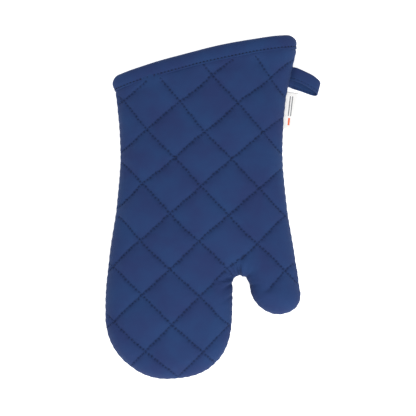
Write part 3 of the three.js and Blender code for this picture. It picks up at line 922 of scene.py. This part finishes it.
def binding(material):
    """The folded strip as a closed ring, subdivided once."""
    rings = [binding_ring(out, depth) for out, depth in BINDING_PROFILE]
    count, across = len(rings[0]), len(rings)
    points = np.stack(rings, axis=1).reshape(-1, 3)
    faces = []
    for i in range(count):
        for j in range(across):
            a, b = i * across + j, i * across + (j + 1) % across
            c, d = ((i + 1) % count) * across + (j + 1) % across, ((i + 1) % count) * across + j
            faces.append((a, b, c, d))
    along, is_upper = cuff_ring()
    around = np.where(is_upper, along, RING_TURN - along)
    flat = np.zeros((count, across, 3))
    steps = np.array([p[0] - (p[1] > 4) * 2 * p[0] for p in BINDING_PROFILE])
    flat[:, :, 0] = around[:, None]
    flat[:, :, 1] = steps[None]
    attributes = {"cloth_position": flat.reshape(-1, 3), "line_shade": np.zeros(len(points))}
    piece = new_piece("bound_cuff", points, faces, material, attributes)
    piece.modifiers.new("Subdivision", "SUBSURF").levels = 1
    piece.modifiers["Subdivision"].render_levels = 1
    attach(piece, "palm")
    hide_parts("cuff_binding")
    return piece


def binding_stitches(piece, material):
    """Topstitching all round the binding, on its outer and inner sides."""
    mesh = piece.evaluated_get(bpy.context.evaluated_depsgraph_get()).to_mesh()
    points = from_frame(coordinates(mesh))
    tree = BVHTree.FromPolygons(points.tolist(), [list(p.vertices) for p in mesh.polygons])
    runs = []
    for out, depth in BINDING_STITCH_ROWS:
        ring = binding_ring(out, depth)
        ring = np.concatenate([ring, ring[:1]])
        runs.append(run_of_stitches(resampled(ring, STITCH_PITCH / 2), tree))
    centres, directions, normals = (np.concatenate(values) for values in zip(*runs))
    made = stitches("bound_cuff_topstitching", centres, directions, normals, material, 2.0, 0.42, 8)
    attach(made, "palm")
    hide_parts("cuff_binding_stitching")


# ---------------------------------------------------------------- hanging loop and side label


def seam_frame(from_cuff):
    """A point of the thumb-side seam, the way along the seam and the way out from it."""
    rise = past_cuff(OUTLINE)
    above = np.roll(rise, -1)
    low = np.flatnonzero((rise <= -from_cuff) & (above > -from_cuff) & (OUTLINE[:, 0] > CUFF_MIDDLE[0]))[0]
    share = (-from_cuff - rise[low]) / (above[low] - rise[low])
    step = OUTLINE[(low + 1) % len(OUTLINE)] - OUTLINE[low]
    along = unit(step)
    return OUTLINE[low] + share * step, along, np.array([along[1], -along[0]])


def at_seam(frame, out, along, rise):
    """Points given by how far they are out from the seam, along it and above it."""
    point, way_along, way_out = frame
    out, along = np.asarray(out, float)[..., None], np.asarray(along, float)[..., None]
    xy = point + out * way_out + along * way_along
    return np.concatenate([xy, SEAM_HEIGHT + np.asarray(rise, float)[..., None]], axis=-1)


def smooth_line(points, steps):
    """A smooth line through the points."""
    points = np.asarray(points, float)
    before = np.concatenate([[2 * points[0] - points[1]], points[:-2]])
    after = np.concatenate([points[2:], [2 * points[-1] - points[-2]]])
    parts = []
    for p, a, b, q in zip(before, points[:-1], points[1:], after):
        parts.append(bezier(a, a + (b - p) / 6, b - (q - a) / 6, b, steps))
    return np.concatenate([*parts, points[-1:]])


def swept(name, rings, material, attributes=None):
    """A closed solid through rings of points, with its ends closed."""
    count, around = rings.shape[:2]
    faces = []
    for i in range(count - 1):
        for j in range(around):
            a, b = i * around + j, i * around + (j + 1) % around
            faces.append((a, b, b + around, a + around))
    last = (count - 1) * around
    faces.append(tuple(range(around))[::-1])
    faces.append(tuple(range(last, last + around)))
    return new_piece(name, rings.reshape(-1, 3), faces, material, attributes)


# Round the folded tape: (share of the half width, share of the half thickness).
TAPE_SECTION = [
    (-0.90, 1.0), (-0.74, 0.92), (-0.66, 0.55), (-0.58, 0.92), (-0.3, 1.0), (0.3, 1.0),
    (0.8, 0.95), (0.96, 0.6), (1.0, 0.0), (0.96, -0.6), (0.8, -0.95), (0.3, -1.0),
    (-0.3, -1.0), (-0.58, -0.92), (-0.66, -0.55), (-0.74, -0.92), (-0.90, -1.0), (-0.98, -0.7),
    (-0.92, -0.1), (-0.98, 0.6),
]


def loop_line(frame):
    """The middle line of the tape: out along the upper leg, round the end and back along the lower leg."""
    full = (LOOP_EYE + TAPE_THICKNESS) / 2
    root = TAPE_THICKNESS / 2 + 0.2
    end = LOOP_REACH - TAPE_THICKNESS / 2
    legs = [  # share of the reach, share of the full height, share of the way to the lower leg's place
        (-0.06, 0.2, 0),
        (0.06, 0.3, 0),
        (0.2, 0.7, 0),
        (0.45, 1, 0.05),
        (0.72, 1, 0.15),
        (0.93, 0.7, 0.3),
        (1, 0, 0.5),
        (0.93, -0.7, 0.7),
        (0.72, -1, 0.85),
        (0.45, -1, 0.95),
        (0.2, -0.7, 1),
        (0.06, -0.3, 1),
        (-0.06, -0.2, 1),
    ]
    points = []
    for share, height, back in legs:
        out = share * end
        bend = max(share, 0) ** LOOP_DROOP
        rise = height * (root if abs(height) < 0.25 else full) - LOOP_SAG * bend
        points.append(at_seam(frame, out, -LOOP_SLUMP * bend - back * LOOP_LEG_OFFSET, rise))
    return smooth_line(points, 8)


def hanging_loop(materials):
    """The folded tape with a row of stitches near its lower edge."""
    frame = seam_frame(LOOP_FROM_CUFF)
    line = loop_line(frame)
    tangents = unit(np.gradient(line, axis=0))
    across = np.array([*frame[1], 0])
    normals = unit(np.cross(tangents, across))
    along = lengths_along(line)
    section = np.array(TAPE_SECTION)
    width = TAPE_WIDTH / 2 + 0.15 * np.sin(along / 3.1)
    flutter = 0.2 * np.sin(along / 5.3 + 1) * np.minimum(along, along[::-1]) / along[-1]
    rings = line[:, None] + (width[:, None] * section[:, 0])[..., None] * across
    thick = TAPE_THICKNESS / 2 * section[:, 1] + flutter[:, None] * section[:, 0]
    rings = rings + thick[..., None] * normals[:, None]
    flat = np.zeros((len(line), len(section), 3))
    flat[..., 0] = along[:, None]
    flat[..., 1] = section[:, 0] * TAPE_WIDTH / 2
    attributes = {"cloth_position": flat[:, ::-1].reshape(-1, 3)}
    tape = swept("loop_tape", rings[:, ::-1], materials["tape"], attributes)
    row = line + across * (-0.66 * TAPE_WIDTH / 2)
    row = resampled(row[4:-4], STITCH_PITCH / 2)
    ahead = unit(np.gradient(row, axis=0))
    up = unit(np.cross(ahead, across))
    sides = []
    for sign in (1, -1):
        raised = row + sign * 0.6 * TAPE_THICKNESS / 2 * up
        sides.append((raised[1::2], ahead[1::2], sign * up[1::2]))
    thread = stitches("loop_topstitching", *map(np.concatenate, zip(*sides)), materials["dark thread"], 2.1)
    for piece, slot in ((tape, "tape"), (thread, "thread")):
        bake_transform(piece)
    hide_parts("hanging_loop")


def label_section(reach):
    """The folded label from its side: out from the seam, and up, round the two leaves."""
    out = np.concatenate([np.linspace(-1.5, reach - 0.8, 9), [reach - 0.25]])
    high = np.full(len(out), LABEL_GAP + LABEL_LEAF)
    high[-1] *= 0.75
    outer = np.column_stack([out, high])
    inner = np.column_stack([np.minimum(out, reach - 0.9)[::-1], (high - LABEL_LEAF)[::-1]])
    inner[:, 1] = np.minimum(inner[:, 1], LABEL_GAP)
    inner[0, 1] = 0.1
    fold = [[reach, 0]]
    return np.concatenate([outer, fold, outer[::-1] * (1, -1), inner[::-1] * (1, -1), inner])


def side_label(material):
    """A folded satin label in the seam."""
    frame = seam_frame(LABEL_FROM_CUFF)
    tilt = math.radians(LABEL_TILT)
    rings, flat = [], []
    for along in np.linspace(-LABEL_LENGTH / 2, LABEL_LENGTH / 2, 25):
        share = along / LABEL_LENGTH
        section = label_section(LABEL_REACH + 1.4 * (share - 0.5))
        out, rise = section.T
        lift = 0.5 * np.sin(along / 7 + 0.6) + 0.7 * (share + 0.2) ** 2
        rise = rise + lift * np.clip(out / LABEL_REACH, 0, 1) ** 2
        slide = along + out * math.tan(tilt)
        rings.append(at_seam(frame, out, slide, rise))
        flat.append(np.column_stack([np.full(len(out), along), out, np.sign(section[:, 1])]))
    attributes = {"cloth_position": np.array(flat)[:, ::-1].reshape(-1, 3)}
    piece = swept("seam_label", np.array(rings)[:, ::-1], material, attributes)
    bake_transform(piece)
    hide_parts("side_label")


# ---------------------------------------------------------------- materials


class Nodes:
    """Short ways to add and link shader nodes."""

    def __init__(self, name):
        self.material = bpy.data.materials.new(name)
        self.material.use_nodes = True
        self.tree = self.material.node_tree
        self.shader = self.tree.nodes["Principled BSDF"]

    def add(self, kind, inputs=None, **settings):
        node = self.tree.nodes.new(kind)
        for key, value in settings.items():
            setattr(node, key, value)
        for key, value in (inputs or {}).items():
            if isinstance(value, bpy.types.NodeSocket):
                self.tree.links.new(value, node.inputs[key])
            else:
                node.inputs[key].default_value = value
        return node

    def math(self, operation, a, b=0.5, clamp=False):
        return self.add("ShaderNodeMath", {0: a, 1: b}, operation=operation, use_clamp=clamp).outputs[0]

    def mix(self, factor, a, b):
        return self.add("ShaderNodeMix", {0: factor, 6: a, 7: b}, data_type="RGBA").outputs[2]

    def shade(self, colour, height, strength, distance, roughness):
        """Gives the shader its colour, bump and roughness, and returns the material."""
        inputs = {"Height": height, "Strength": strength, "Distance": distance}
        bumped = self.add("ShaderNodeBump", inputs)
        self.tree.links.new(colour, self.shader.inputs["Base Color"])
        self.tree.links.new(bumped.outputs[0], self.shader.inputs["Normal"])
        self.shader.inputs["Roughness"].default_value = roughness
        return self.material


def linear(red, green, blue):
    """An sRGB colour, 0 to 255, in linear light."""
    def one(value):
        value /= 255
        return value / 12.92 if value <= 0.04045 else ((value + 0.055) / 1.055) ** 2.4

    return (one(red), one(green), one(blue), 1)


def twill(name, colours, roughness=0.82):
    """A cotton twill: diagonal ribs, uneven yarns, faded patches, and painted shade along the stitch lines
    and in the needle holes.
    """
    n = Nodes(name)
    where = n.add("ShaderNodeAttribute", attribute_name="cloth_position").outputs["Vector"]
    shade = n.add("ShaderNodeAttribute", attribute_name="line_shade").outputs["Fac"]
    hole = n.add("ShaderNodeAttribute", attribute_name="hole_shade").outputs["Fac"]
    split = n.add("ShaderNodeSeparateXYZ", {0: where})
    x, y = split.outputs[0], split.outputs[1]
    patches = n.add("ShaderNodeTexNoise", {"Vector": where, "Scale": 0.03, "Detail": 3.0, "Roughness": 0.55})
    stretched = n.add("ShaderNodeMapping", {"Vector": where, "Scale": (0.09, 0.9, 1.0)})
    fine = {"Vector": stretched.outputs[0], "Scale": 1.0, "Detail": 4.0, "Roughness": 0.6}
    yarns = n.add("ShaderNodeTexNoise", fine)
    diagonal = n.math("ADD", x, y)
    rib = n.math("SINE", n.math("MULTIPLY", diagonal, 2 * math.pi / (TWILL_PITCH * math.sqrt(2))))
    weft = n.math("SINE", n.math("MULTIPLY", y, 2 * math.pi / (TWILL_PITCH * 0.7)))
    weave = n.math("ADD", n.math("MULTIPLY", rib, 0.35), n.math("MULTIPLY", weft, 0.15))
    soft = n.add("ShaderNodeMapRange", {0: patches.outputs[0], 1: 0.36, 2: 0.64}).outputs[0]
    colour = n.mix(soft, colours["dark"], colours["light"])
    colour = n.mix(n.math("MULTIPLY", yarns.outputs[0], 0.45), colour, colours["yarn"])
    # painted shade in the valleys between the twill's ribs
    rib_shade = n.math("MULTIPLY_ADD", weave, 0.10)
    colour = n.mix(n.math("SUBTRACT", 0.05, rib_shade, clamp=True), colour, colours["painted_shade"])
    # painted shade along the stitch lines, from line_shade
    colour = n.mix(n.math("MULTIPLY", shade, 0.12, clamp=True), colour, colours["painted_shade"])
    # painted shade in the needle holes, from hole_shade
    hole = n.add("ShaderNodeMapRange", {0: hole, 1: 0.3, 2: 0.8, 4: 0.62}).outputs[0]
    colour = n.mix(hole, colour, colours["painted_shade"])
    height = n.math("ADD", weave, n.math("MULTIPLY", yarns.outputs[0], 1.2))
    n.shader.inputs["Specular IOR Level"].default_value = 0.15
    n.shader.inputs["Sheen Weight"].default_value = 0.06
    n.shader.inputs["Sheen Roughness"].default_value = 0.45
    n.shader.inputs["Sheen Tint"].default_value = (0.55, 0.65, 0.9, 1)
    return n.shade(colour, height, TWILL_BUMP, 0.0002, roughness)


def label_material():
    """White satin with thin woven lines in grey and orange."""
    n = Nodes("label")
    where = n.add("ShaderNodeAttribute", attribute_name="cloth_position").outputs["Vector"]
    split = n.add("ShaderNodeSeparateXYZ", {0: where})
    along, out, side = split.outputs
    colour = linear(236, 235, 233)
    for middle, half, width, height, ink in (
        (4.5, 9.5, 0.45, 4.3, linear(96, 98, 104)),
        (4.5, 9.5, 0.45, 6.5, linear(96, 98, 104)),
        (-10.5, 3.5, 0.9, 5.4, linear(226, 98, 52)),
    ):
        mask = n.add("ShaderNodeMath", {0: along, 1: middle, 2: half}, operation="COMPARE").outputs[0]
        row = n.add("ShaderNodeMath", {0: out, 1: height, 2: width}, operation="COMPARE").outputs[0]
        upper = n.math("GREATER_THAN", side, 0.5)
        colour = n.mix(n.math("MULTIPLY", n.math("MULTIPLY", mask, row), upper), colour, ink)
    rib = n.math("SINE", n.math("MULTIPLY", along, 2 * math.pi / 0.45))
    return n.shade(colour, rib, strength=0.25, distance=0.0001, roughness=0.45)


def thread_material(name, dark, light):
    n = Nodes(name)
    where = n.add("ShaderNodeTexCoord").outputs["Object"]
    noise = n.add("ShaderNodeTexNoise", {"Vector": where, "Scale": 2600.0, "Detail": 2.0})
    colour = n.mix(noise.outputs[0], dark, light)
    n.shader.inputs["Specular IOR Level"].default_value = 0.2
    return n.shade(colour, noise.outputs[0], strength=0.4, distance=0.0001, roughness=0.8)


def wadding_material():
    n = Nodes("wadding")
    where = n.add("ShaderNodeTexCoord").outputs["Object"]
    noise = n.add("ShaderNodeTexNoise", {"Vector": where, "Scale": 900.0, "Detail": 5.0})
    colour = n.mix(noise.outputs[0], linear(222, 216, 202), linear(246, 243, 235))
    return n.shade(colour, noise.outputs[0], strength=0.6, distance=0.0008, roughness=0.95)


NAVY = {
    "light": linear(31, 56, 99),
    "dark": linear(33, 47, 90),
    "yarn": linear(32, 51, 94),
    # painted shade: the dark laid along the stitch lines and into the needle holes
    "painted_shade": linear(16, 24, 48),
}
LINING_NAVY = {
    "light": linear(44, 62, 104),
    "dark": linear(36, 50, 88),
    "yarn": linear(40, 56, 96),
    # painted shade: the dark laid along the lining's stitch lines
    "painted_shade": linear(20, 28, 54),
}

# ---------------------------------------------------------------- camera, light and floor


def studio():
    """A pale floor, a soft bright surround and a long lens straight above the mitt."""
    scene = bpy.context.scene
    scene.view_settings.view_transform = "Standard"
    scene.view_settings.look = "None"
    world = bpy.data.worlds.new("studio")
    world.use_nodes = True
    world.node_tree.nodes["Background"].inputs[0].default_value = (1, 1, 1, 1)
    world.node_tree.nodes["Background"].inputs[1].default_value = 0.75
    scene.world = world
    width, lens, sensor = 0.3994, 120, 36
    aim, height = (-0.0053, -0.0011), 0.022
    camera = bpy.data.objects.new("camera", bpy.data.cameras.new("camera"))
    camera.data.lens = lens
    camera.data.sensor_width = sensor
    camera.data.clip_end = 20
    camera.location = (*aim, height + width * lens / sensor)
    scene.collection.objects.link(camera)
    scene.camera = camera
    for name, spot, size, power in (
        ("key", (0.35, -1.0, 1.15), 0.8, 18),
        ("fill", (-0.7, 0.5, 1.4), 1.6, 2),
    ):
        light = bpy.data.objects.new(name, bpy.data.lights.new(name, "AREA"))
        light.data.size = size
        light.data.energy = power
        light.location = spot
        light.rotation_euler = (-Vector(spot)).to_track_quat("-Z", "Y").to_euler()
        scene.collection.objects.link(light)
    floor()


def floor():
    n = Nodes("floor")
    n.shader.inputs["Base Color"].default_value = (0.9, 0.9, 0.9, 1)
    n.shader.inputs["Roughness"].default_value = 0.9
    n.shader.inputs["Emission Color"].default_value = (1, 1, 1, 1)
    n.shader.inputs["Emission Strength"].default_value = 0.65
    mesh = bpy.data.meshes.new("floor")
    half, level = 4, -0.0001
    corners = [(-half, -half, level), (half, -half, level), (half, half, level), (-half, half, level)]
    mesh.from_pydata(corners, [], [(0, 1, 2, 3)])
    plane = bpy.data.objects.new("floor", mesh)
    plane.data.materials.append(n.material)
    bpy.context.scene.collection.objects.link(plane)


# ---------------------------------------------------------------- the mitt

studio()
materials = {
    "outer": twill("outer_cloth", NAVY),
    "lining": twill("lining", LINING_NAVY, roughness=0.88),
    "binding": twill("binding", NAVY),
    "tape": twill("tape", NAVY),
    "label": label_material(),
    "thread": thread_material("thread", linear(27, 46, 90), linear(35, 56, 104)),
    "dark thread": thread_material("dark_thread", linear(12, 18, 38), linear(24, 34, 62)),
    "wadding": wadding_material(),
}

paths = [path for line in quilt_lines() for path in needle_paths(line)]
holes = np.concatenate([path[::2] for path in paths])
plan_points, triangles = panel_mesh(paths)
plan = Plan(plan_points)
for face in FACES:
    cloth = outer_cloth(face, plan, triangles, holes, materials["outer"])
    tree = surface_tree(cloth[0], cloth[1])
    quilting(face, quilting_runs(face, tree, paths), materials["thread"])
    finished_cloth(face, cloth, materials["outer"])
    hidden_layers(face, plan, triangles, materials)

side_seam(materials["dark thread"])
bound_cuff = binding(materials["binding"])
binding_stitches(bound_cuff, materials["dark thread"])
hanging_loop(materials)
side_label(materials["label"])
